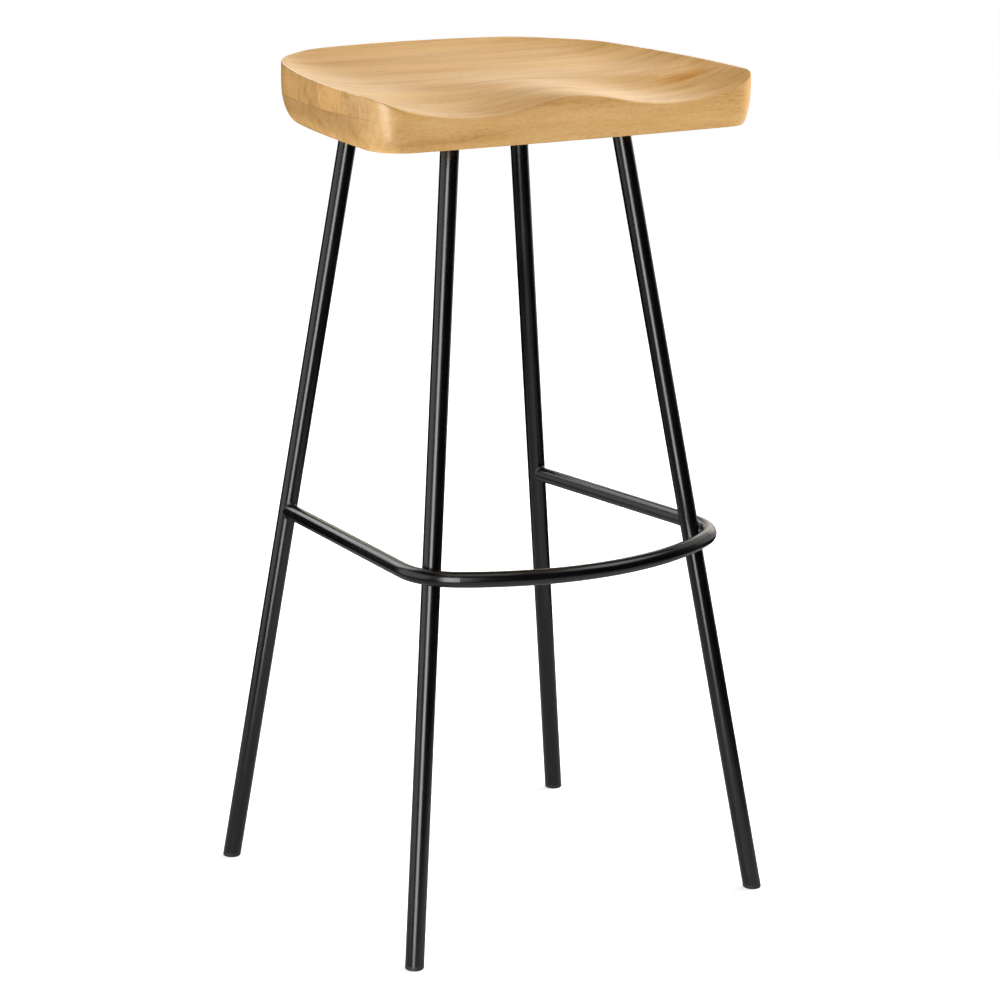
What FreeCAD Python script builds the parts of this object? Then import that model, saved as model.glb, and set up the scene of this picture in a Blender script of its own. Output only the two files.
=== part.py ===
"""Bar stool: carved hardwood seat on a welded steel-tube frame with a bowed footrest.

Millimetres, +Z up, the front of the stool faces -Y.  The origin lies on the floor, in the
middle of the stool's overall footprint.
"""
import FreeCAD, Part
import math
import os
from FreeCAD import Vector

# Overall heights
SEAT_UNDERSIDE = 720.0
FOOTREST_HEIGHT = 346.0

# Leg frame, measured to the tube axes
FEET_CENTRE_Y = 10.0
FOOT_HALF_X = 189.0
FOOT_HALF_Y = 167.0
TOPS_CENTRE_Y = 31.0
TOP_HALF_X = 91.0
TOP_HALF_Y = 83.5
LEG_RADIUS = 8.5
TUBE_WALL = 1.5

# Footrest
FOOTREST_RADIUS = 7.15
CORNER_X = 160.5
CORNER_Y = -88.0
CORNER_BEND = 56.5
BOW_FRONT_Y = -178.2
BOW_RADIUS = 255.0
WELD_FILLET = 2.2

# Foot glides
GLIDE_HEIGHT = 4.0
GLIDE_STEM = 18.0
GLIDE_CLEARANCE = 0.05
GLIDE_ROUNDING = 1.2

# Seat outline in plan
SEAT_HALF_WIDTH = 204.9
SEAT_WIDEST_Y = -74.0
SEAT_SIDE_RADIUS = 509.0
SEAT_FRONT_Y = -120.0
SEAT_FRONT_RADIUS = 4900.0
SEAT_BACK_Y = 166.0
SEAT_BACK_RADIUS = 582.0
FRONT_CORNER_RADIUS = 29.0
BACK_CORNER_RADIUS = 108.0

# Seat section: the rim climbs towards the back, and the lower edge is rounded under
RIM_FRONT = 47.0
RIM_BACK = 58.3
SIDE_DRAW_IN = ((-100.0, 8.0), (-20.0, 18.5), (60.0, 20.0))
BACK_DRAW_IN = 16.0
EDGE_HEIGHT = 36.0
EDGE_SECTIONS = 7

# Carved top
DISH_DEPTH = 22.5
DISH_SIDE_POWER = 4.5
DISH_START_Y = -50.0
DISH_BACK_POWER = 2.2
DISH_BLEND = 3.0
POMMEL_FILL = 0.64
POMMEL_WIDTH = 62.0
REAR_FILL = 0.43
SCOOP_END_Y = 6.0
SCOOP_END_SWEEP = 490.0
SCOOP_END_BLEND = 16.0

# Glued-up timber: two layers of staves whose joints are staggered
LAYER_SPLIT = 28.0
STAVE_WIDTH = 47.0
UPPER_FIRST_JOINT_Y = -57.0
LOWER_FIRST_JOINT_Y = -80.0
STAVES_PER_LAYER = 6

# Mounting plate and its fastenings
PLATE_HALF_X = 106.0
PLATE_HALF_Y = 98.5
PLATE_THICKNESS = 4.0
PLATE_CORNER = 16.0
PLATE_WELD = 3.2
BOLT_HALF_X = 60.0
BOLT_HALF_Y = 52.0
BOLT_RADIUS = 2.95
BOLT_LENGTH = 20.0
BOLT_HOLE_RADIUS = 3.5
HEAD_RADIUS = 5.25
HEAD_HEIGHT = 3.3
SOCKET_ACROSS_FLATS = 4.0
SOCKET_DEPTH = 2.0
WASHER_RADIUS = 8.0
WASHER_THICKNESS = 1.5
INSERT_RADIUS = 5.0
INSERT_BORE = 3.0
INSERT_LENGTH = 15.0
INSERT_RELIEF = 3.0

PLATE_UNDERSIDE = SEAT_UNDERSIDE - PLATE_THICKNESS
UP = Vector(0, 0, 1)
CORNERS = {
    "front_left": (-1, -1),
    "front_right": (1, -1),
    "back_left": (-1, 1),
    "back_right": (1, 1),
}


def export(shape, node):
    """Write one sub-part as its own STEP file."""
    shape.exportStep("parts/%s.step" % node)


def slab(low_z, high_z, low_y=-400.0, high_y=400.0):
    """A box wider than the stool, used to keep one layer of a shape."""
    corner = Vector(-400, low_y, low_z)
    return Part.makeBox(800, high_y - low_y, high_z - low_z, corner)


# ---------------------------------------------------------------- leg frame

def leg_foot(side, end):
    """Where a leg's axis meets the floor."""
    return Vector(side * FOOT_HALF_X, FEET_CENTRE_Y + end * FOOT_HALF_Y, 0)


def leg_top(side, end):
    """Where a leg's axis meets the underside of the seat."""
    return Vector(side * TOP_HALF_X, TOPS_CENTRE_Y + end * TOP_HALF_Y, SEAT_UNDERSIDE)


def leg_point(side, end, height):
    """The point of a leg's axis at a given height."""
    foot, top = leg_foot(side, end), leg_top(side, end)
    return foot + (top - foot) * (height / SEAT_UNDERSIDE)


def leg_rod(side, end, radius):
    """A round rod along a leg's axis, longer than the leg at both ends."""
    start, finish = leg_point(side, end, -40.0), leg_point(side, end, SEAT_UNDERSIDE + 40.0)
    run = finish - start
    return Part.makeCylinder(radius, run.Length, start, run)


def leg_tube(side, end):
    """A leg: round tube cut level at the glide and at the mounting plate."""
    tube = leg_rod(side, end, LEG_RADIUS).cut(leg_rod(side, end, LEG_RADIUS - TUBE_WALL))
    return tube.common(slab(GLIDE_HEIGHT, PLATE_UNDERSIDE))


def foot_glide(side, end):
    """A plastic end plug: a cap flush with the tube, and a stem pressed up inside it."""
    cap = leg_rod(side, end, LEG_RADIUS).common(slab(0, GLIDE_HEIGHT))
    floor_edges = [e for e in cap.Edges if e.BoundBox.ZMax < 0.01]
    cap = cap.makeFillet(GLIDE_ROUNDING, floor_edges)
    stem_radius = LEG_RADIUS - TUBE_WALL - GLIDE_CLEARANCE
    stem = leg_rod(side, end, stem_radius).common(slab(GLIDE_HEIGHT, GLIDE_HEIGHT + GLIDE_STEM))
    return cap.fuse(stem)


def plate_weld(side, end):
    """The bead around the top of a leg, under the mounting plate."""
    low = leg_point(side, end, PLATE_UNDERSIDE - PLATE_WELD)
    high = leg_point(side, end, PLATE_UNDERSIDE + PLATE_WELD)
    run = high - low
    cone = Part.makeCone(LEG_RADIUS, LEG_RADIUS + 2 * PLATE_WELD, run.Length, low, run)
    bead = cone.common(slab(PLATE_UNDERSIDE - 2 * PLATE_WELD, PLATE_UNDERSIDE))
    return bead.cut(leg_rod(side, end, LEG_RADIUS))


# ---------------------------------------------------------------- footrest

def footrest_path():
    """The tube's centre line: straight arm, bend, bowed front, bend, straight arm."""
    height = FOOTREST_HEIGHT
    start = leg_point(1, 1, height)
    along = (Vector(CORNER_X, CORNER_Y, height) - start).normalize()
    inward = Vector(along.y, -along.x, 0)
    bow_centre = Vector(0, BOW_FRONT_Y + BOW_RADIUS, height)
    # The bend's centre is one bend radius inside the arm, and inside the bow by the same.
    offset = start + inward * CORNER_BEND - bow_centre
    reach = BOW_RADIUS - CORNER_BEND
    half = offset.dot(along)
    travel = -half + math.sqrt(half * half - offset.dot(offset) + reach * reach)
    bend_start = start + along * travel
    bend_centre = bend_start + inward * CORNER_BEND
    outward = (bend_centre - bow_centre).normalize()
    bend_end = bow_centre + outward * BOW_RADIUS
    bisector = ((bend_start - bend_centre) + (bend_end - bend_centre)).normalize()
    bend_middle = bend_centre + bisector * CORNER_BEND
    bow_middle = Vector(0, BOW_FRONT_Y, height)

    def mirrored(point):
        return Vector(-point.x, point.y, point.z)

    edges = [
        Part.LineSegment(start, bend_start),
        Part.Arc(bend_start, bend_middle, bend_end),
        Part.Arc(bend_end, bow_middle, mirrored(bend_end)),
        Part.Arc(mirrored(bend_end), mirrored(bend_middle), mirrored(bend_start)),
        Part.LineSegment(mirrored(bend_start), mirrored(start)),
    ]
    return Part.Wire([edge.toShape() for edge in edges])


def swept_rod(path, radius):
    """A solid rod of round section along a path."""
    first = path.Edges[0]
    start = first.valueAt(first.FirstParameter)
    heading = first.tangentAt(first.FirstParameter)
    profile = Part.Wire([Part.Circle(start, heading, radius).toShape()])
    return path.makePipeShell([profile], True, False)


def footrest_tube(path):
    """The bent tube, with both ends shaped to the rear legs they butt against."""
    tube = swept_rod(path, FOOTREST_RADIUS).cut(swept_rod(path, FOOTREST_RADIUS - TUBE_WALL))
    for side in (-1, 1):
        tube = tube.cut(leg_rod(side, 1, LEG_RADIUS))
    return max(tube.Solids, key=lambda solid: solid.Volume)


def rear_footrest_weld(path, side):
    """The fillet bead where an arm of the footrest butts against a rear leg."""
    leg = leg_rod(side, 1, LEG_RADIUS)
    arm = path.Edges[0] if side > 0 else path.Edges[-1]
    near = leg_point(side, 1, FOOTREST_HEIGHT)
    ends = sorted((vertex.Point for vertex in arm.Vertexes), key=lambda p: p.distanceToPoint(near))
    heading = ends[1] - ends[0]
    rod = Part.makeCylinder(FOOTREST_RADIUS, 60.0, near, heading)
    joined = leg.fuse(rod)
    seam = [
        edge for edge in joined.Edges
        if edge.BoundBox.Center.distanceToPoint(near) < 3 * LEG_RADIUS and edge.Length > LEG_RADIUS
        and type(edge.Curve).__name__ not in ("Line", "Circle", "Ellipse")
    ]
    rounded = joined.makeFillet(WELD_FILLET, seam)
    bead = rounded.cut(leg).cut(rod)
    return max(bead.Solids, key=lambda solid: solid.Volume)


def front_footrest_weld(path, side):
    """The bead in the crevice where a front leg stands inside the footrest's bend."""
    leg_axis = Part.LineSegment(leg_foot(side, -1), leg_top(side, -1)).toShape()
    points = leg_axis.distToShape(path)[1][0]
    contact = (points[0] * FOOTREST_RADIUS + points[1] * LEG_RADIUS) * (1 / (FOOTREST_RADIUS + LEG_RADIUS))
    blob = Part.makeSphere(2.6 * WELD_FILLET, contact)
    bead = blob.cut(leg_rod(side, -1, LEG_RADIUS)).cut(swept_rod(path, FOOTREST_RADIUS))
    return max(bead.Solids, key=lambda solid: solid.Volume)


# ---------------------------------------------------------------- seat timber

def bend_between(centre_a, radius_a, centre_b, radius_b, radius, near):
    """Start, middle and end of the bend that lies inside two larger circles, near a point."""
    reach_a, reach_b = radius_a - radius, radius_b - radius
    span = centre_b - centre_a
    along = (reach_a ** 2 - reach_b ** 2 + span.Length ** 2) / (2 * span.Length)
    across = math.sqrt(reach_a ** 2 - along ** 2)
    unit = Vector(span).normalize()
    sideways = Vector(-unit.y, unit.x, 0)
    options = [centre_a + unit * along + sideways * (across * sign) for sign in (-1, 1)]
    centre = min(options, key=lambda point: point.distanceToPoint(near))
    touch_a = centre_a + (centre - centre_a).normalize() * radius_a
    touch_b = centre_b + (centre - centre_b).normalize() * radius_b
    middle = centre + ((touch_a - centre) + (touch_b - centre)).normalize() * radius
    return touch_a, middle, touch_b


def circle_through(a, b, c):
    """Centre and radius of the level circle through three points."""
    ab, ac = b - a, c - a
    turn = 2 * (ab.x * ac.y - ab.y * ac.x)
    first, second = ab.Length ** 2, ac.Length ** 2
    offset = Vector((ac.y * first - ab.y * second) / turn, (ab.x * second - ac.x * first) / turn, 0)
    return a + offset, offset.Length


def side_arc(share):
    """Centre and radius of the right side's arc, drawn in by a share of the full amount."""
    points = []
    for y, amount in SIDE_DRAW_IN:
        reach = SEAT_SIDE_RADIUS - math.sqrt(SEAT_SIDE_RADIUS ** 2 - (y - SEAT_WIDEST_Y) ** 2)
        points.append(Vector(SEAT_HALF_WIDTH - reach - amount * share, y, 0))
    return circle_through(*points)


def seat_outline(share, height):
    """The seat's outline as one wire; share is how far its sides and back are drawn in."""
    side_centre, side_radius = side_arc(share)
    back_inset = BACK_DRAW_IN * share
    front_centre = Vector(0, SEAT_FRONT_Y + SEAT_FRONT_RADIUS, 0)
    back_centre = Vector(0, SEAT_BACK_Y - SEAT_BACK_RADIUS, 0)
    back_radius = SEAT_BACK_RADIUS - back_inset
    back_corner = BACK_CORNER_RADIUS - back_inset
    front_corner = Vector(SEAT_HALF_WIDTH, SEAT_FRONT_Y, 0)
    front_bend = bend_between(
        front_centre, SEAT_FRONT_RADIUS, side_centre, side_radius, FRONT_CORNER_RADIUS, front_corner)
    rear_corner = Vector(SEAT_HALF_WIDTH, SEAT_BACK_Y, 0)
    back_bend = bend_between(side_centre, side_radius, back_centre, back_radius, back_corner, rear_corner)
    half_way = (front_bend[2] + back_bend[0]) * 0.5
    side_middle = side_centre + (half_way - side_centre).normalize() * side_radius

    def at_height(point, mirror=1):
        return Vector(mirror * point.x, point.y, SEAT_UNDERSIDE + height)

    right = [front_bend, (front_bend[2], side_middle, back_bend[0]), back_bend]
    arcs = [[at_height(point) for point in arc] for arc in right]
    back_middle = Vector(0, SEAT_BACK_Y - back_inset, 0)
    arcs.append([at_height(back_bend[2]), at_height(back_middle), at_height(back_bend[2], -1)])
    arcs += [[at_height(point, -1) for point in reversed(arc)] for arc in reversed(right)]
    front_middle = Vector(0, SEAT_FRONT_Y, 0)
    arcs.append([at_height(front_bend[0], -1), at_height(front_middle), at_height(front_bend[0])])
    return Part.Wire([Part.Arc(*arc).toShape() for arc in arcs])


def seat_blank():
    """The seat before carving: rounded-under lower edge, and upright sides above it."""
    sections = []
    for step in range(EDGE_SECTIONS):
        angle = math.radians(90.0 * step / (EDGE_SECTIONS - 1))
        sections.append(seat_outline(1 - math.sin(angle), EDGE_HEIGHT * (1 - math.cos(angle))))
    lower = Part.makeLoft(sections, True, False)
    upper = Part.Face(sections[-1]).extrude(UP * (RIM_BACK + 6.0 - EDGE_HEIGHT))
    return lower.fuse(upper)


def scoop_depth(x, y):
    """How far a point is into the thigh scoops: 0 behind them, 1 along the seat's front edge."""
    end = SCOOP_END_Y - x * x / SCOOP_END_SWEEP

    def ahead(place):
        return 0.5 * (end - place + math.hypot(end - place, SCOOP_END_BLEND))

    return 1 - (1 - min(1.0, ahead(y) / ahead(SEAT_FRONT_Y))) ** 2


def top_height(x, y):
    """Height of the carved top above the underside: a dish, two thigh scoops and a pommel."""
    rim = RIM_FRONT + (RIM_BACK - RIM_FRONT) * (y - SEAT_FRONT_Y) / (SEAT_BACK_Y - SEAT_FRONT_Y)
    half_width = SEAT_HALF_WIDTH - (y - SEAT_WIDEST_Y) ** 2 / (2 * SEAT_SIDE_RADIUS)
    side_rise = (abs(x) / half_width) ** DISH_SIDE_POWER
    back_edge = SEAT_BACK_Y - x * x / (2 * SEAT_BACK_RADIUS)
    back_share = max(0.0, (y - DISH_START_Y) / (back_edge - DISH_START_Y))
    back_rise = back_share ** DISH_BACK_POWER
    rise = (side_rise ** DISH_BLEND + back_rise ** DISH_BLEND) ** (1 / DISH_BLEND)
    pommel = POMMEL_FILL * math.exp(-(x / POMMEL_WIDTH) ** 2)
    fill = REAR_FILL + (pommel - REAR_FILL) * scoop_depth(x, y)
    return rim - DISH_DEPTH * (1 - rise) * (1 - fill)


def carving_tool():
    """Everything above the carved top surface."""
    columns = [SEAT_FRONT_Y - 20.0 + 13.5 * step for step in range(24)]
    rows = [-225.0 + 15.0 * step for step in range(31)]
    points = [[Vector(x, y, SEAT_UNDERSIDE + top_height(x, y)) for y in columns] for x in rows]
    surface = Part.BSplineSurface()
    surface.interpolate(points)
    return surface.toShape().extrude(UP * 90.0)


def bolt_places():
    """The four bolt positions in plan."""
    return [Vector(x * BOLT_HALF_X, TOPS_CENTRE_Y + y * BOLT_HALF_Y, 0) for x, y in CORNERS.values()]


def post(place, radius, low_z, high_z):
    """An upright cylinder at a bolt position."""
    return Part.makeCylinder(radius, high_z - low_z, Vector(place.x, place.y, low_z))


def seat_staves():
    """The carved seat, sawn back into the staves that it was glued up from."""
    seat = seat_blank().cut(carving_tool())
    for place in bolt_places():
        hole_top = SEAT_UNDERSIDE + INSERT_LENGTH + INSERT_RELIEF
        seat = seat.cut(post(place, INSERT_RADIUS, SEAT_UNDERSIDE - 1, hole_top))
    split = SEAT_UNDERSIDE + LAYER_SPLIT
    layers = {
        "seat_stave_lower_%d": (SEAT_UNDERSIDE - 1, split, LOWER_FIRST_JOINT_Y),
        "seat_stave_upper_%d": (split, split + 60, UPPER_FIRST_JOINT_Y),
    }
    staves = {}
    for name, (low_z, high_z, first_joint) in layers.items():
        joints = [first_joint + STAVE_WIDTH * step for step in range(STAVES_PER_LAYER - 1)]
        bounds = [-400.0] + joints + [400.0]
        for number in range(STAVES_PER_LAYER):
            block = slab(low_z, high_z, bounds[number], bounds[number + 1])
            piece = seat.common(block)
            staves[name % (number + 1)] = max(piece.Solids, key=lambda solid: solid.Volume)
    return staves


# ---------------------------------------------------------------- mounting plate and fasteners

def mounting_plate():
    """The steel plate that the legs are welded to, drilled for the seat bolts."""
    corner = Vector(-PLATE_HALF_X, TOPS_CENTRE_Y - PLATE_HALF_Y, PLATE_UNDERSIDE)
    plate = Part.makeBox(2 * PLATE_HALF_X, 2 * PLATE_HALF_Y, PLATE_THICKNESS, corner)
    uprights = [e for e in plate.Edges if e.BoundBox.ZLength > PLATE_THICKNESS / 2]
    plate = plate.makeFillet(PLATE_CORNER, uprights)
    for place in bolt_places():
        plate = plate.cut(post(place, BOLT_HOLE_RADIUS, PLATE_UNDERSIDE - 1, SEAT_UNDERSIDE + 1))
    return plate


def seat_bolt(place):
    """A button-head bolt with a hexagon socket."""
    head_top = PLATE_UNDERSIDE - WASHER_THICKNESS
    head_bottom = head_top - HEAD_HEIGHT
    head = post(place, HEAD_RADIUS, head_bottom, head_top)
    crown = [e for e in head.Edges if e.BoundBox.ZMax < head_bottom + 0.01]
    head = head.makeFillet(HEAD_HEIGHT * 0.6, crown)
    circumradius = SOCKET_ACROSS_FLATS / math.sqrt(3)
    hexagon = [
        Vector(place.x + circumradius * math.cos(math.radians(a)),
               place.y + circumradius * math.sin(math.radians(a)), head_bottom - 1)
        for a in range(0, 361, 60)
    ]
    socket = Part.Face(Part.makePolygon(hexagon)).extrude(UP * (SOCKET_DEPTH + 1))
    shank = post(place, BOLT_RADIUS, head_top, head_top + BOLT_LENGTH)
    return head.cut(socket).fuse(shank)


def bolt_washer(place):
    """A flat washer under a bolt head."""
    low, high = PLATE_UNDERSIDE - WASHER_THICKNESS, PLATE_UNDERSIDE
    return post(place, WASHER_RADIUS, low, high).cut(post(place, BOLT_HOLE_RADIUS, low - 1, high + 1))


def threaded_insert(place):
    """A threaded insert set into the underside of the seat."""
    low, high = SEAT_UNDERSIDE, SEAT_UNDERSIDE + INSERT_LENGTH
    return post(place, INSERT_RADIUS, low, high).cut(post(place, INSERT_BORE, low - 1, high + 1))


def main():
    os.makedirs("parts", exist_ok=True)
    for node, stave in seat_staves().items():
        export(stave, node)
    export(mounting_plate(), "mounting_plate")
    export(Part.makeCompound([seat_bolt(place) for place in bolt_places()]), "seat_bolts")
    export(Part.makeCompound([bolt_washer(place) for place in bolt_places()]), "bolt_washers")
    export(Part.makeCompound([threaded_insert(place) for place in bolt_places()]), "threaded_inserts")
    for name, (side, end) in CORNERS.items():
        export(leg_tube(side, end), "leg_tube_" + name)
        export(foot_glide(side, end), "foot_glide_" + name)
        export(plate_weld(side, end), "plate_weld_" + name)
    path = footrest_path()
    export(footrest_tube(path), "footrest_tube")
    for side, word in ((-1, "left"), (1, "right")):
        export(front_footrest_weld(path, side), "footrest_weld_front_" + word)
        export(rear_footrest_weld(path, side), "footrest_weld_back_" + word)


main()
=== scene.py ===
"""Looks of the bar stool: sanded and lacquered wooden seat on a black powder-coated frame.

Metres, +Z up, the front of the stool faces -Y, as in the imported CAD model.  The metal
parts keep their CAD shape.  The seat is rebuilt from the same sizes as the CAD one, with
sanded edges, and sawn into the same staves.
"""
import bmesh
import bpy
import math
import random
from mathutils import Matrix, Vector


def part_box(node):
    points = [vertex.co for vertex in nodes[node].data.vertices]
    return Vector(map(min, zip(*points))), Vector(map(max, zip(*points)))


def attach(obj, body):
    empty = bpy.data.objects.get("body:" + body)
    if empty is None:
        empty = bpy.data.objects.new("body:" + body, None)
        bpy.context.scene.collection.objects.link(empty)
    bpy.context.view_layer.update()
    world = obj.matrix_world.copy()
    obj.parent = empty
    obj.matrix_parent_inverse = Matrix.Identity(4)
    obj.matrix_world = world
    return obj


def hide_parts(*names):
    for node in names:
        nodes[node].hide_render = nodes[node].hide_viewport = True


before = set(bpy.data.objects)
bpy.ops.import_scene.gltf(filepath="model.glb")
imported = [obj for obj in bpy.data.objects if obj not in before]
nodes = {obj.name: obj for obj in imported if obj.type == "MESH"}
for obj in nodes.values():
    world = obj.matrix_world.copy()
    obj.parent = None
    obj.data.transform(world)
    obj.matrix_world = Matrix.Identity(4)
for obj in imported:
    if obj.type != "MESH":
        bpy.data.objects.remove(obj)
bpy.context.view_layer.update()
scene = bpy.context.scene

# Camera
CAMERA_PLACE = Vector((-1.6206, -2.4349, 1.1230))
CAMERA_AZIMUTH = math.radians(-33.66)
CAMERA_ELEVATION = math.radians(14.45)
CAMERA_ROLL = math.radians(0.68)
CAMERA_LENS = 117.04
SENSOR_WIDTH = 36.0
CAMERA_REACH = 60.0

# Seat outline in plan, as in the CAD model
SEAT_UNDERSIDE = 0.720
SEAT_HALF_WIDTH = 0.2049
SEAT_WIDEST_Y = -0.074
SEAT_SIDE_RADIUS = 0.509
SEAT_FRONT_Y = -0.120
SEAT_FRONT_RADIUS = 4.900
SEAT_BACK_Y = 0.166
SEAT_BACK_RADIUS = 0.582
FRONT_CORNER_RADIUS = 0.029
BACK_CORNER_RADIUS = 0.108

# Seat section
RIM_FRONT = 0.047
RIM_BACK = 0.0583
SIDE_DRAW_IN = ((-0.100, 0.0080), (-0.020, 0.0185), (0.060, 0.0200))
BACK_DRAW_IN = 0.016
EDGE_HEIGHT = 0.036
DISH_DEPTH = 0.0225
DISH_SIDE_POWER = 4.5
DISH_START_Y = -0.050
DISH_BACK_POWER = 2.2
DISH_BLEND = 3.0
POMMEL_FILL = 0.64
POMMEL_WIDTH = 0.062
REAR_FILL = 0.43
SCOOP_END_Y = 0.006
SCOOP_END_SWEEP = 0.490
SCOOP_END_BLEND = 0.016

# Seat mesh: steps along each arc of the outline, rings over the top and underside, sanded edges
FRONT_STEPS = 36
FRONT_BEND_STEPS = 16
SIDE_STEPS = 30
BACK_BEND_STEPS = 22
BACK_STEPS = 24
UNDERSIDE_SHARES = (0.02, 0.25, 0.5, 0.75, 0.92)
TOP_RINGS = 47
TOP_OUTER_SHARE = 0.975
TOP_INNER_SHARE = 0.02
EDGE_STEPS = 12
RIM_MARGIN = 0.003
RIM_SANDING = 0.0019
FOOT_SANDING = 0.0008
SANDING_SEGMENTS = 3
CUT_TOLERANCE = 1e-6
SHARP_ANGLE = math.radians(35.0)

# Timber: brightness of each stave and of its end grain, from front to back
STAVE_TONES = {
    "lower": (0.97, 0.95, 0.99, 0.96, 0.98, 0.95),
    "upper": (0.98, 1.00, 0.96, 1.01, 0.97, 1.00),
}
# Painted shade: the end grain is darker than the faces, partly its own darker colour and partly shade
# painted on the seat's ends; the lower layer's ends are darker still.
END_GRAIN_TONES_AND_SHADE = {
    "lower": (0.88, 0.76, 0.70, 0.76, 0.71, 0.75),
    "upper": (0.86, 0.97, 0.85, 0.92, 0.84, 0.89),
}
# Amber marks in the top: centre, half length and half width
HEARTWOOD = (
    ((0.160, -0.054, 0.765), 0.042, 0.012),
    ((-0.018, -0.027, 0.760), 0.040, 0.012),
)
HEARTWOOD_HALF_DEPTH = 1.0
# Wood colours from dark to light, and the weights of the layers that choose between them
WOOD_COLOURS = (
    (0.36, (0.520, 0.275, 0.088)),
    (0.46, (0.670, 0.400, 0.150)),
    (0.54, (0.745, 0.470, 0.195)),
    (0.65, (0.820, 0.560, 0.265)),
)
RING_WEIGHT = 0.11
BROAD_WEIGHT = 0.40
STREAK_WEIGHT = 0.14
FIBRE_WEIGHT = 0.35
# Colours that multiply the wood
CLOUD_TINT = (0.93, 0.79, 0.55)
HEARTWOOD_TINT = (0.88, 0.66, 0.30)
FLECK_TINT = (0.74, 0.58, 0.40)
GLUE_TINT = (0.62, 0.44, 0.28)
WOOD_BALANCE = (1.0, 0.95, 0.83)
DARK_RAY_BALANCE = (0.97, 0.92, 0.84)
PALE_RAY_BALANCE = (1.0, 0.99, 1.02)
# How far the rings wander, half the width of a glue line, and a size larger than the seat
RING_WANDER = 0.030
GLUE_LINE = 0.0004
BEYOND = 1.0
FIRST_TIMBER_SEED = 23

# Black finishes
FRAME_TINT = 0.0016
PLATE_TINT = 0.004

# Studio
WHITE = (1.0, 1.0, 1.0)
DOME_LIGHT = 0.50
FLOOR_GLOW = 0.58
FLOOR_COLOUR = (0.92, 0.92, 0.92, 1.0)
FLOOR_HALF_SIZE = 20.0
SHEEN_COLOUR = (0.45, 0.45, 0.45, 1.0)
# Sheets just under the floor, seen only in reflections: name, centre y, half size, height, glow
FLOOR_SHEENS = (
    ("floor_sheen", 0.0, 0.75, -0.003, 0.05),
    ("front_floor_sheen", -0.60, 0.42, -0.002, 0.65),
)
WALL_SEGMENTS = 96
WALL_GLOW = 1.0
WARM_WHITE = (1.0, 0.93, 0.80)
AIM = Vector((0.0, 0.0, 0.45))

# Lamps: name, angle to the camera's left, rise, distance, width, height, radiance, colour, gloss only
LAMPS = (
    ("front_strip", 12, 8, 2.6, 1.15, 2.8, 9.5, WHITE, True),
    ("left_panel", 76, 12, 2.6, 3.1, 2.6, 1.35, WHITE, True),
    ("back_left_softbox", 140, 34, 2.8, 1.7, 1.7, 3.8, WHITE, True),
    ("right_softbox", -96, 50, 2.8, 1.5, 1.3, 3.2, WHITE, True),
    ("back_right_panel", -145, 10, 2.6, 2.8, 2.2, 0.8, WHITE, True),
    ("back_sheen_panel", -170, 14, 2.6, 2.8, 0.9, 1.55, WARM_WHITE, True),
    ("top_softbox", 0, 78, 2.4, 1.4, 1.4, 1.5, WHITE, True),
    ("key_light", -128, 33, 3.0, 1.8, 1.8, 10.6, WHITE, False),
    ("fill_light", 64, 8, 3.0, 2.2, 2.2, 1.7, WHITE, False),
)


# ---------------------------------------------------------------- seat shape

def bend_between(centre_a, radius_a, centre_b, radius_b, radius, near):
    """Centre and touching points of the bend that lies inside two larger circles, near a point."""
    reach_a, reach_b = radius_a - radius, radius_b - radius
    span = centre_b - centre_a
    along = (reach_a ** 2 - reach_b ** 2 + span.length_squared) / (2 * span.length)
    across = math.sqrt(reach_a ** 2 - along ** 2)
    unit = span.normalized()
    sideways = Vector((-unit.y, unit.x))
    options = [centre_a + unit * along + sideways * (across * sign) for sign in (-1, 1)]
    centre = min(options, key=lambda point: (point - near).length)
    touch_a = centre_a + (centre - centre_a).normalized() * radius_a
    touch_b = centre_b + (centre - centre_b).normalized() * radius_b
    return centre, touch_a, touch_b


def arc_points(centre, start, end, count):
    """Points along an arc from start towards end, without the end point itself."""
    first = math.atan2(start.y - centre.y, start.x - centre.x)
    last = math.atan2(end.y - centre.y, end.x - centre.x)
    sweep = (last - first + math.pi) % (2 * math.pi) - math.pi
    radius = (start - centre).length
    angles = [first + sweep * step / count for step in range(count)]
    return [centre + Vector((math.cos(a), math.sin(a))) * radius for a in angles]


def circle_through(a, b, c):
    """Centre and radius of the circle through three points."""
    ab, ac = b - a, c - a
    turn = 2 * (ab.x * ac.y - ab.y * ac.x)
    first, second = ab.length_squared, ac.length_squared
    offset = Vector(((ac.y * first - ab.y * second) / turn, (ab.x * second - ac.x * first) / turn))
    return a + offset, offset.length


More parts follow.
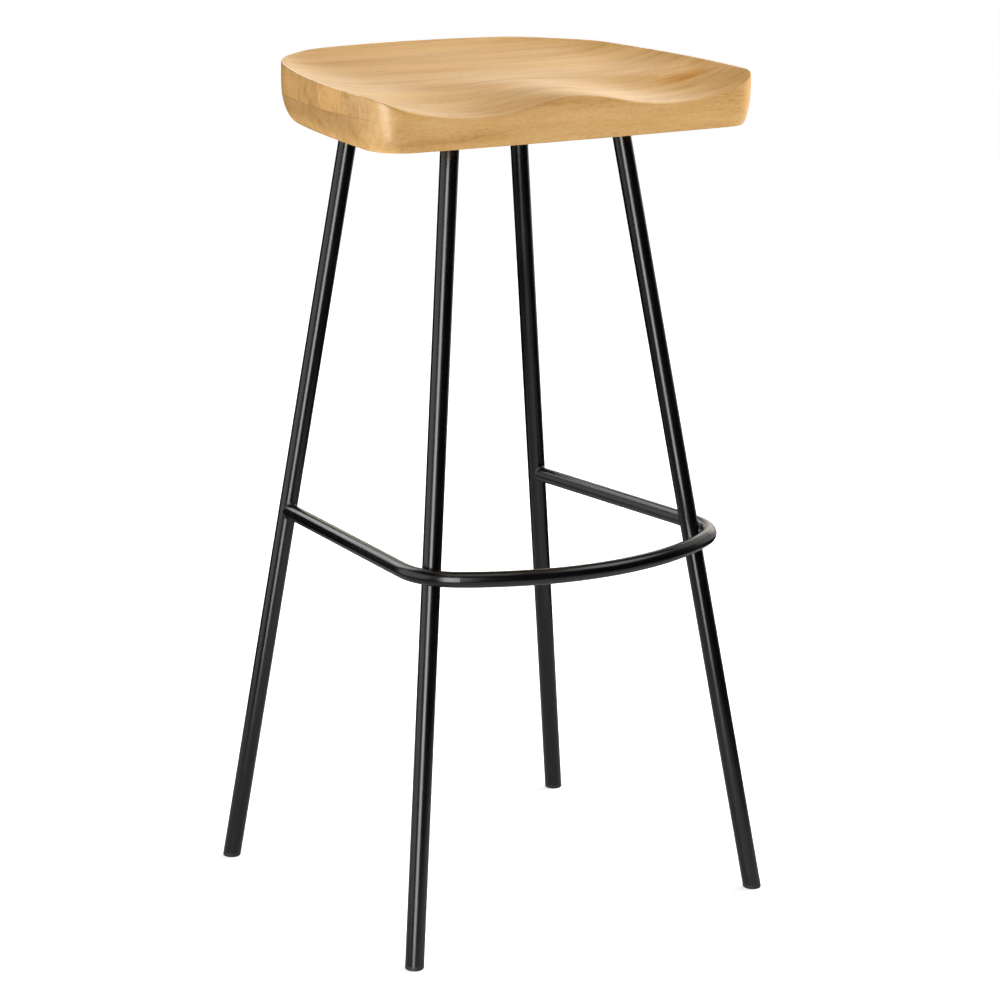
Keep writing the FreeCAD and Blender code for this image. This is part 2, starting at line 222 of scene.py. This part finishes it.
def seat_outline(share):
    """The seat's outline, anticlockwise from the middle of the front.

    share is how far its sides and back are drawn in: 0 at the rim, 1 at the underside.
    """
    front_centre = Vector((0, SEAT_FRONT_Y + SEAT_FRONT_RADIUS))
    side_points = []
    for y, amount in SIDE_DRAW_IN:
        reach = SEAT_SIDE_RADIUS - math.sqrt(SEAT_SIDE_RADIUS ** 2 - (y - SEAT_WIDEST_Y) ** 2)
        side_points.append(Vector((SEAT_HALF_WIDTH - reach - amount * share, y)))
    side_centre, side_radius = circle_through(*side_points)
    back_centre = Vector((0, SEAT_BACK_Y - SEAT_BACK_RADIUS))
    back_inset = BACK_DRAW_IN * share
    back_radius = SEAT_BACK_RADIUS - back_inset
    bend_a, front_end, side_start = bend_between(
        front_centre, SEAT_FRONT_RADIUS, side_centre, side_radius, FRONT_CORNER_RADIUS,
        Vector((SEAT_HALF_WIDTH, SEAT_FRONT_Y)))
    bend_b, side_end, back_start = bend_between(
        side_centre, side_radius, back_centre, back_radius, BACK_CORNER_RADIUS - back_inset,
        Vector((SEAT_HALF_WIDTH, SEAT_BACK_Y)))
    front_middle = Vector((0, SEAT_FRONT_Y))
    back_middle = Vector((0, SEAT_BACK_Y - back_inset))
    right = arc_points(front_centre, front_middle, front_end, FRONT_STEPS)
    right += arc_points(bend_a, front_end, side_start, FRONT_BEND_STEPS)
    right += arc_points(side_centre, side_start, side_end, SIDE_STEPS)
    right += arc_points(bend_b, side_end, back_start, BACK_BEND_STEPS)
    right += arc_points(back_centre, back_start, back_middle, BACK_STEPS)
    left = [Vector((-point.x, point.y)) for point in reversed(right[1:])]
    return right + [back_middle] + left


def scoop_depth(x, y):
    """How far a point is into the thigh scoops: 0 behind them, 1 along the seat's front edge."""
    end = SCOOP_END_Y - x * x / SCOOP_END_SWEEP

    def ahead(place):
        return 0.5 * (end - place + math.hypot(end - place, SCOOP_END_BLEND))

    return 1 - (1 - min(1.0, ahead(y) / ahead(SEAT_FRONT_Y))) ** 2


def top_height(x, y):
    """Height of the carved top above the underside: a dish, two thigh scoops and a pommel."""
    rim = RIM_FRONT + (RIM_BACK - RIM_FRONT) * (y - SEAT_FRONT_Y) / (SEAT_BACK_Y - SEAT_FRONT_Y)
    half_width = SEAT_HALF_WIDTH - (y - SEAT_WIDEST_Y) ** 2 / (2 * SEAT_SIDE_RADIUS)
    side_rise = (abs(x) / half_width) ** DISH_SIDE_POWER
    back_edge = SEAT_BACK_Y - x * x / (2 * SEAT_BACK_RADIUS)
    back_share = max(0.0, (y - DISH_START_Y) / (back_edge - DISH_START_Y))
    back_rise = back_share ** DISH_BACK_POWER
    rise = (side_rise ** DISH_BLEND + back_rise ** DISH_BLEND) ** (1 / DISH_BLEND)
    pommel = POMMEL_FILL * math.exp(-(x / POMMEL_WIDTH) ** 2)
    fill = REAR_FILL + (pommel - REAR_FILL) * scoop_depth(x, y)
    return rim - DISH_DEPTH * (1 - rise) * (1 - fill)


def add_ring(mesh, outline, height):
    """One closed ring of vertices; height is a number or a function of x and y."""
    ring = []
    for point in outline:
        z = height(point.x, point.y) if callable(height) else height
        ring.append(mesh.verts.new((point.x, point.y, SEAT_UNDERSIDE + z)))
    return ring


def join_rings(mesh, low, high):
    """Quads between two rings of the same length."""
    count = len(low)
    for i in range(count):
        j = (i + 1) % count
        mesh.faces.new((low[i], low[j], high[j], high[i]))


def shrunk(outline, share):
    """The outline drawn in towards the middle of the seat."""
    middle = Vector((0, 0.5 * (SEAT_FRONT_Y + SEAT_BACK_Y)))
    return [middle + (point - middle) * share for point in outline]


def carved_seat():
    """The whole seat as one closed mesh, its edges sanded."""
    mesh = bmesh.new()
    full = seat_outline(0.0)
    drawn_in = seat_outline(1.0)
    underside = [add_ring(mesh, shrunk(drawn_in, share), 0.0) for share in UNDERSIDE_SHARES]
    edge = []
    for step in range(EDGE_STEPS + 1):
        angle = 0.5 * math.pi * step / EDGE_STEPS
        climb = 1 - math.cos(angle)

        def edge_height(x, y):
            return climb * min(EDGE_HEIGHT, top_height(x, y) - RIM_MARGIN)

        edge.append(add_ring(mesh, seat_outline(1 - math.sin(angle)), edge_height))
    rim = add_ring(mesh, full, top_height)
    top = []
    for step in range(TOP_RINGS):
        share = TOP_OUTER_SHARE + (TOP_INNER_SHARE - TOP_OUTER_SHARE) * step / (TOP_RINGS - 1)
        top.append(add_ring(mesh, shrunk(full, share), top_height))
    rings = underside + edge + [rim] + top
    for low, high in zip(rings, rings[1:]):
        join_rings(mesh, low, high)
    mesh.faces.new(list(reversed(underside[0])))
    mesh.faces.new(top[-1])
    bmesh.ops.recalc_face_normals(mesh, faces=mesh.faces)

    def loop_edges(ring):
        members = set(ring)
        return [e for e in mesh.edges if e.verts[0] in members and e.verts[1] in members]

    sanded = [(loop_edges(rim), RIM_SANDING), (loop_edges(edge[0]), FOOT_SANDING)]
    for edges, amount in sanded:
        bmesh.ops.bevel(
            mesh, geom=edges, offset=amount, segments=SANDING_SEGMENTS, profile=0.5, affect="EDGES")
    return mesh


def sawn(seat, low, high):
    """The piece of the seat inside a box, closed where it is cut."""
    piece = seat.copy()
    for axis in (1, 2):
        for bound, sign in ((low[axis], -1), (high[axis], 1)):
            place, normal = Vector((0, 0, 0)), Vector((0, 0, 0))
            place[axis], normal[axis] = bound, sign
            everything = piece.verts[:] + piece.edges[:] + piece.faces[:]
            cut = bmesh.ops.bisect_plane(
                piece, geom=everything, dist=CUT_TOLERANCE, plane_co=place, plane_no=normal,
                clear_outer=True)
            rim = [item for item in cut["geom_cut"] if isinstance(item, bmesh.types.BMEdge)]
            if rim:
                bmesh.ops.edgeloop_fill(piece, edges=rim)
    return piece


def add_object(name, mesh):
    """A scene object made from a finished mesh, which is then freed."""
    data = bpy.data.meshes.new(name)
    mesh.to_mesh(data)
    mesh.free()
    obj = bpy.data.objects.new(name, data)
    scene.collection.objects.link(obj)
    return obj


def shade(obj):
    """Smooth shading except across sharp corners."""
    for polygon in obj.data.polygons:
        polygon.use_smooth = True
    obj.data.set_sharp_from_angle(angle=SHARP_ANGLE)


# ---------------------------------------------------------------- material tools

class Recipe:
    """A node material being put together; most calls add one node and return its output."""

    def __init__(self, name):
        self.material = bpy.data.materials.new(name)
        self.material.use_nodes = True
        self.tree = self.material.node_tree
        self.tree.nodes.clear()
        self.output = self.tree.nodes.new("ShaderNodeOutputMaterial")

    def feed(self, socket, value):
        """Link another node's output to an input, or set it to a constant."""
        if isinstance(value, bpy.types.NodeSocket):
            self.tree.links.new(value, socket)
        else:
            socket.default_value = value

    def node(self, kind, settings=None, **inputs):
        """A node itself; the names of its inputs use _ for spaces."""
        made = self.tree.nodes.new(kind)
        for name, value in (settings or {}).items():
            setattr(made, name, value)
        for name, value in inputs.items():
            self.feed(made.inputs[name.replace("_", " ")], value)
        return made

    def place(self):
        """Position on the piece, in metres."""
        return self.node("ShaderNodeTexCoord").outputs["Object"]

    def mapped(self, vector, scale=(1, 1, 1), move=(0, 0, 0)):
        return self.node("ShaderNodeMapping", Vector=vector, Scale=scale, Location=move).outputs[0]

    def noise(self, vector, scale, detail=4.0, roughness=0.5):
        made = self.node(
            "ShaderNodeTexNoise", Vector=vector, Scale=scale, Detail=detail, Roughness=roughness)
        return made.outputs["Fac"]

    def ramp(self, value, stops):
        """Colours spread over 0 to 1."""
        made = self.node("ShaderNodeValToRGB", Fac=value)
        elements = made.color_ramp.elements
        while len(elements) < len(stops):
            elements.new(0.5)
        for element, (position, colour) in zip(elements, stops):
            element.position = position
            element.color = (*colour, 1.0)
        return made.outputs["Color"]

    def spread(self, value, low, high, to_low=0.0, to_high=1.0):
        """A value's range from low to high stretched to another range, and clamped to it."""
        made = self.node("ShaderNodeMapRange", {"clamp": True}, Value=value)
        names = ("From Min", "From Max", "To Min", "To Max")
        for name, number in zip(names, (low, high, to_low, to_high)):
            made.inputs[name].default_value = number
        return made.outputs["Result"]

    def maths(self, operation, a, b=0.0):
        made = self.node("ShaderNodeMath", {"operation": operation})
        self.feed(made.inputs[0], a)
        self.feed(made.inputs[1], b)
        return made.outputs[0]

    def vector_maths(self, operation, *vectors):
        """A vector node itself, since its result may be a vector or a value."""
        made = self.node("ShaderNodeVectorMath", {"operation": operation})
        for socket, value in zip(made.inputs, vectors):
            self.feed(socket, value)
        return made

    def mixed(self, share, a, b, blend="MIX"):
        """Two colours mixed; sockets 0, 6 and 7 are the share and the two colours."""
        made = self.node("ShaderNodeMix", {"data_type": "RGBA", "blend_type": blend})
        for index, value in ((0, share), (6, a), (7, b)):
            self.feed(made.inputs[index], (*value, 1.0) if isinstance(value, tuple) else value)
        return made.outputs[2]

    def multiplied(self, share, colour, tint):
        return self.mixed(share, colour, tint, "MULTIPLY")

    def bump(self, height, distance, strength, normal=None):
        made = self.node("ShaderNodeBump", Height=height, Distance=distance, Strength=strength)
        if normal is not None:
            self.feed(made.inputs["Normal"], normal)
        return made.outputs["Normal"]

    def surface(self, **inputs):
        """The finished material."""
        shader = self.node("ShaderNodeBsdfPrincipled", **inputs)
        self.tree.links.new(shader.outputs[0], self.output.inputs["Surface"])
        return self.material


def scaled(colour, amount):
    """A colour made brighter or darker."""
    return tuple(channel * amount for channel in colour)


# ---------------------------------------------------------------- materials

def timber(name, seed, tone, end_tone_and_shade, low, high):
    """Lacquered hardwood with its grain along X, darker at the glue lines of the box it was cut to.

    The scales of the noises are cycles per metre: few along the grain and many across it.
    """
    r = Recipe(name)
    dice = random.Random(seed)
    pith = (dice.uniform(-3.0, 3.0), dice.uniform(-0.05, 0.05), dice.uniform(-0.82, -0.76))
    grain = r.mapped(r.place(), move=pith)

    drift = r.node("ShaderNodeTexNoise", Vector=r.mapped(grain, scale=(2.4, 8, 8)), Scale=1.0, Detail=3.0)
    wander = r.vector_maths("SCALE", drift.outputs["Color"])
    wander.inputs["Scale"].default_value = RING_WANDER
    bent = r.vector_maths("ADD", grain, wander.outputs[0]).outputs[0]
    rings = r.node("ShaderNodeTexWave", {"wave_type": "RINGS", "rings_direction": "X"},
                   Vector=bent, Scale=46.0, Distortion=0.6, Detail=2.0)
    ring_line = r.spread(rings.outputs["Fac"], 0.0, 1.0, 0.30, 0.70)

    broad = r.noise(r.mapped(bent, scale=(4.0, 70, 70)), 1.0, detail=3.0, roughness=0.55)
    streaks = r.noise(r.mapped(bent, scale=(10, 260, 260)), 1.0, detail=3.0, roughness=0.6)
    fibres = r.noise(r.mapped(grain, scale=(150, 900, 900)), 1.0, detail=4.0, roughness=0.70)
    clouds = r.noise(r.mapped(grain, scale=(5.0, 22, 22)), 1.0, detail=4.0, roughness=0.6)
    pores = r.noise(r.mapped(grain, scale=(150, 1500, 1500)), 1.0, detail=2.0, roughness=0.7)

    pattern = 0.0
    layers = (
        (ring_line, RING_WEIGHT), (broad, BROAD_WEIGHT), (streaks, STREAK_WEIGHT), (fibres, FIBRE_WEIGHT))
    for layer, weight in layers:
        pattern = r.maths("ADD", pattern, r.maths("MULTIPLY", layer, weight))
    wood = r.ramp(pattern, WOOD_COLOURS)
    wood = r.multiplied(r.spread(clouds, 0.54, 0.74, 0.0, 0.75), wood, CLOUD_TINT)
    ragged = r.maths("MULTIPLY", streaks, 1.2)
    for centre, half_length, half_width in HEARTWOOD:
        local = r.node("ShaderNodeMapping", {"vector_type": "TEXTURE"}, Vector=r.place(),
                       Location=centre, Scale=(half_length, half_width, HEARTWOOD_HALF_DEPTH))
        away = r.vector_maths("LENGTH", local.outputs[0]).outputs["Value"]
        mark = r.spread(r.maths("ADD", away, ragged), 0.8, 1.7, 1.0, 0.0)
        wood = r.multiplied(mark, wood, HEARTWOOD_TINT)
    wood = r.multiplied(r.spread(pores, 0.54, 0.70, 0.0, 0.42), wood, FLECK_TINT)
    wood = r.multiplied(1.0, wood, scaled(WOOD_BALANCE, tone))

    facing = r.node("ShaderNodeNewGeometry").outputs["Normal"]
    along = r.node("ShaderNodeSeparateXYZ", Vector=facing).outputs["X"]
    end_grain = r.spread(r.maths("ABSOLUTE", along), 0.80, 0.97)
    rays = r.noise(r.mapped(grain, scale=(60, 500, 120)), 1.0, detail=3.0, roughness=0.6)
    # End grain colour: its own darker rays, with painted shade of the seat's ends in its tone.
    dark_ray_and_shade, pale_ray_and_shade = scaled(DARK_RAY_BALANCE, end_tone_and_shade), scaled(PALE_RAY_BALANCE, end_tone_and_shade)
    end_colour_and_shade = r.mixed(r.spread(rays, 0.35, 0.65), dark_ray_and_shade, pale_ray_and_shade)
    wood = r.mixed(end_grain, wood, r.multiplied(1.0, wood, end_colour_and_shade))

    spot = r.node("ShaderNodeSeparateXYZ", Vector=r.place())
    glue = 0.0
    for axis, bound in (("Y", low.y), ("Y", high.y), ("Z", low.z), ("Z", high.z)):
        away = r.maths("ABSOLUTE", r.maths("SUBTRACT", spot.outputs[axis], bound))
        glue = r.maths("MAXIMUM", glue, r.spread(away, 0.4 * GLUE_LINE, GLUE_LINE, 1.0, 0.0))
    seen_glue = r.maths("MULTIPLY", glue, r.spread(end_grain, 0.0, 1.0, 0.15, 0.55))
    wood = r.multiplied(seen_glue, wood, GLUE_TINT)

    gloss = r.spread(r.noise(r.mapped(r.place(), scale=(8, 40, 40)), 1.0), 0.3, 0.7, 0.33, 0.41)
    relief = r.bump(fibres, 0.00005, 0.45)
    relief = r.bump(r.noise(r.place(), 40.0, detail=2.0), 0.0004, 0.2, relief)
    return r.surface(Base_Color=wood, Roughness=gloss, Normal=relief, Coat_Weight=0.14,
                     Coat_Roughness=0.27, IOR=1.45)


def powder_coat(name, orange_peel, tint):
    """Semi-gloss black powder coat: fine orange peel, faint cloudiness, dust in the pits, rubbed spots."""
    r = Recipe(name)
    place = r.place()
    peel = r.noise(place, 900.0, detail=2.0, roughness=0.45)
    ripple = r.noise(place, 160.0, detail=2.0)
    cloud = r.noise(place, 18.0, detail=3.0)
    specks = r.spread(r.noise(place, 2600.0, detail=1.0), 0.66, 0.74)
    rub = r.noise(r.mapped(place, scale=(1, 1, 0.25)), 46.0, detail=5.0, roughness=0.65)
    rub = r.spread(rub, 0.60, 0.78)
    colour = r.mixed(r.spread(cloud, 0.35, 0.65), (tint, tint, tint * 1.08),
                     (tint * 1.5, tint * 1.5, tint * 1.6))
    colour = r.mixed(r.maths("MULTIPLY", rub, 0.18), colour, (0.012, 0.012, 0.0125))
    colour = r.mixed(r.maths("MULTIPLY", specks, 0.12), colour, (0.03, 0.03, 0.031))
    gloss = r.spread(cloud, 0.3, 0.7, 0.21, 0.27)
    gloss = r.maths("ADD", gloss, r.maths("MULTIPLY", rub, 0.06))
    relief = r.bump(peel, 0.00004, orange_peel)
    relief = r.bump(ripple, 0.00012, orange_peel * 0.5, relief)
    return r.surface(Base_Color=colour, Roughness=gloss, Normal=relief, IOR=1.50)


def weld_coat():
    """The frame's powder coat over the ripples of a weld bead."""
    r = Recipe("weld_powder_coat")
    place = r.place()
    ripples = r.node("ShaderNodeTexVoronoi", Vector=place, Scale=620.0).outputs["Distance"]
    lumps = r.noise(place, 380.0, detail=3.0)
    cloud = r.noise(place, 60.0, detail=3.0)
    colour = r.mixed(r.spread(cloud, 0.3, 0.7), (0.002, 0.002, 0.0022), (0.006, 0.006, 0.0065))
    gloss = r.spread(lumps, 0.3, 0.7, 0.30, 0.42)
    relief = r.bump(ripples, 0.0003, 0.7)
    relief = r.bump(lumps, 0.0003, 0.5, relief)
    return r.surface(Base_Color=colour, Roughness=gloss, Normal=relief, IOR=1.50)


def moulded_plastic():
    """Black moulded plastic, scuffed grey low down where it meets the floor."""
    r = Recipe("glide_plastic")
    place = r.place()
    height = r.node("ShaderNodeSeparateXYZ", Vector=place).outputs["Z"]
    low_down = r.spread(height, 0.0, 0.0022, 1.0, 0.0)
    scuffs = r.noise(r.mapped(place, scale=(1, 1, 3)), 420.0, detail=4.0, roughness=0.7)
    worn = r.maths("MULTIPLY", low_down, r.spread(scuffs, 0.48, 0.66))
    grain = r.noise(place, 1400.0, detail=2.0)
    colour = r.mixed(r.spread(grain, 0.3, 0.7), (0.010, 0.010, 0.010), (0.017, 0.017, 0.017))
    colour = r.mixed(r.maths("MULTIPLY", worn, 0.6), colour, (0.10, 0.098, 0.094))
    gloss = r.maths("ADD", r.spread(grain, 0.3, 0.7, 0.42, 0.52), r.maths("MULTIPLY", worn, 0.2))
    return r.surface(Base_Color=colour, Roughness=gloss, Normal=r.bump(grain, 0.00004, 0.5), IOR=1.49)


def machined_metal(name, dark, light, low_gloss, high_gloss):
    """Turned metal: fine tool marks round the piece, and a cloudy plated colour."""
    r = Recipe(name)
    place = r.place()
    marks = r.noise(r.mapped(place, scale=(1, 1, 9)), 700.0, detail=3.0, roughness=0.6)
    cloud = r.noise(place, 140.0, detail=3.0)
    colour = r.mixed(r.spread(cloud, 0.3, 0.7), dark, light)
    gloss = r.spread(marks, 0.3, 0.7, low_gloss, high_gloss)
    return r.surface(Base_Color=colour, Roughness=gloss, Normal=r.bump(marks, 0.00003, 0.5), Metallic=1.0)


def dress(obj, material):
    """Give a piece one material all over."""
    obj.data.materials.clear()
    obj.data.materials.append(material)


# ---------------------------------------------------------------- build

def build_seat():
    """The staves of the seat, each standing for its CAD node."""
    seat = carved_seat()
    for layer, tones in STAVE_TONES.items():
        for number in range(1, len(tones) + 1):
            node = "seat_stave_%s_%d" % (layer, number)
            low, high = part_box(node)
            if number == 1:
                low.y = -BEYOND
            if number == len(tones):
                high.y = BEYOND
            if layer == "lower":
                low.z = -BEYOND
            else:
                high.z = BEYOND
            stave = add_object("stave_%s_%d" % (layer, number), sawn(seat, low, high))
            shade(stave)
            tone, end_tone_and_shade = tones[number - 1], END_GRAIN_TONES_AND_SHADE[layer][number - 1]
            seed = FIRST_TIMBER_SEED + 10 * (number - 1)
            dress(stave, timber("timber_%s_%d" % (layer, number), seed, tone, end_tone_and_shade, low, high))
            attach(stave, "root")
            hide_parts(node)
    seat.free()


def finish_frame():
    """Materials of the CAD nodes that stay as they are."""
    coat = powder_coat("frame_powder_coat", 0.35, FRAME_TINT)
    weld = weld_coat()
    looks = {
        "leg_tube": coat,
        "footrest_tube": coat,
        "mounting_plate": powder_coat("plate_powder_coat", 0.5, PLATE_TINT),
        "plate_weld": weld,
        "footrest_weld": weld,
        "foot_glide": moulded_plastic(),
        "seat_bolts": machined_metal(
            "black_zinc", (0.05, 0.05, 0.055), (0.10, 0.10, 0.11), 0.30, 0.42),
        "bolt_washers": machined_metal(
            "black_zinc_washer", (0.06, 0.06, 0.065), (0.12, 0.12, 0.13), 0.32, 0.45),
        "threaded_inserts": machined_metal(
            "brass", (0.50, 0.36, 0.16), (0.68, 0.52, 0.27), 0.22, 0.36),
    }
    for name, obj in nodes.items():
        for start, material in looks.items():
            if name.startswith(start):
                dress(obj, material)
                shade(obj)


def camera_axes():
    """Right, up and backward directions of the camera before its roll."""
    back = Vector((
        math.sin(CAMERA_AZIMUTH) * math.cos(CAMERA_ELEVATION),
        -math.cos(CAMERA_AZIMUTH) * math.cos(CAMERA_ELEVATION),
        math.sin(CAMERA_ELEVATION)))
    right = Vector((math.cos(CAMERA_AZIMUTH), math.sin(CAMERA_AZIMUTH), 0))
    return right, back.cross(right), back


def place_camera():
    """The camera, turned a little about its own axis by its roll."""
    right, up, back = camera_axes()
    turned_right = right * math.cos(CAMERA_ROLL) + up * math.sin(CAMERA_ROLL)
    turned_up = up * math.cos(CAMERA_ROLL) - right * math.sin(CAMERA_ROLL)
    camera = bpy.data.objects.new("camera", bpy.data.cameras.new("camera"))
    camera.data.lens = CAMERA_LENS
    camera.data.sensor_width = SENSOR_WIDTH
    camera.data.clip_end = CAMERA_REACH
    camera.matrix_world = Matrix((
        (turned_right.x, turned_up.x, back.x, CAMERA_PLACE.x),
        (turned_right.y, turned_up.y, back.y, CAMERA_PLACE.y),
        (turned_right.z, turned_up.z, back.z, CAMERA_PLACE.z),
        (0, 0, 0, 1)))
    scene.collection.objects.link(camera)
    scene.camera = camera


def lamp(name, side_angle, rise, distance, width, height, radiance, colour, gloss_only):
    """A soft panel aimed at the stool, for highlights only or for light without highlights.

    side_angle is how far round to the camera's left it stands, and rise how high, in degrees.
    """
    heading = CAMERA_AZIMUTH - math.radians(side_angle)
    lift = math.radians(rise)
    away = Vector((
        math.sin(heading) * math.cos(lift), -math.cos(heading) * math.cos(lift), math.sin(lift)))
    light = bpy.data.lights.new(name, "AREA")
    light.shape = "RECTANGLE"
    light.size, light.size_y = width, height
    light.energy = radiance * math.pi * width * height
    light.color = colour
    panel = bpy.data.objects.new(name, light)
    panel.location = AIM + away * distance
    panel.rotation_euler = away.to_track_quat("Z", "Y").to_euler()
    panel.visible_camera = False
    panel.visible_glossy = gloss_only
    panel.visible_diffuse = not gloss_only
    scene.collection.objects.link(panel)


def studio_piece(name, mesh, colour, glow):
    """A plain glowing piece of the studio."""
    piece = add_object(name, mesh)
    r = Recipe(name)
    dress(piece, r.surface(Base_Color=colour, Roughness=0.9, Emission_Color=colour,
                           Emission_Strength=glow, Specular_IOR_Level=0.0))
    return piece


def plain_sheet(name, centre_y, half_size, height, colour, glow):
    """A level square sheet."""
    mesh = bmesh.new()
    corners = [(-1, -1), (1, -1), (1, 1), (-1, 1)]
    mesh.faces.new([mesh.verts.new((x * half_size, centre_y + y * half_size, height)) for x, y in corners])
    return studio_piece(name, mesh, colour, glow)


def wall_all_round():
    """A white round wall behind the floor's far edge, seen by the camera only."""
    mesh = bmesh.new()
    bmesh.ops.create_cone(
        mesh, cap_ends=False, segments=WALL_SEGMENTS, radius1=FLOOR_HALF_SIZE,
        radius2=FLOOR_HALF_SIZE, depth=2 * FLOOR_HALF_SIZE)
    wall = studio_piece("wall_all_round", mesh, (*WHITE, 1.0), WALL_GLOW)
    wall.visible_diffuse = False
    wall.visible_glossy = False
    wall.visible_shadow = False


def light_studio():
    """Even light from all round, a pale floor, and soft panels for the highlights."""
    world = bpy.data.worlds.new("studio")
    world.use_nodes = True
    world.node_tree.nodes["Background"].inputs["Color"].default_value = (*WHITE, 1.0)
    world.node_tree.nodes["Background"].inputs["Strength"].default_value = DOME_LIGHT
    world.cycles_visibility.glossy = False
    scene.world = world

    floor = plain_sheet("floor", 0.0, FLOOR_HALF_SIZE, 0.0, FLOOR_COLOUR, FLOOR_GLOW)
    floor.visible_glossy = False
    wall_all_round()
    for name, centre_y, half_size, height, glow in FLOOR_SHEENS:
        sheen = plain_sheet(name, centre_y, half_size, height, SHEEN_COLOUR, glow)
        sheen.visible_camera = False
        sheen.visible_diffuse = False
        sheen.visible_shadow = False

    for settings in LAMPS:
        lamp(*settings)


finish_frame()
build_seat()
light_studio()
place_camera()
scene.view_settings.view_transform = "Standard"
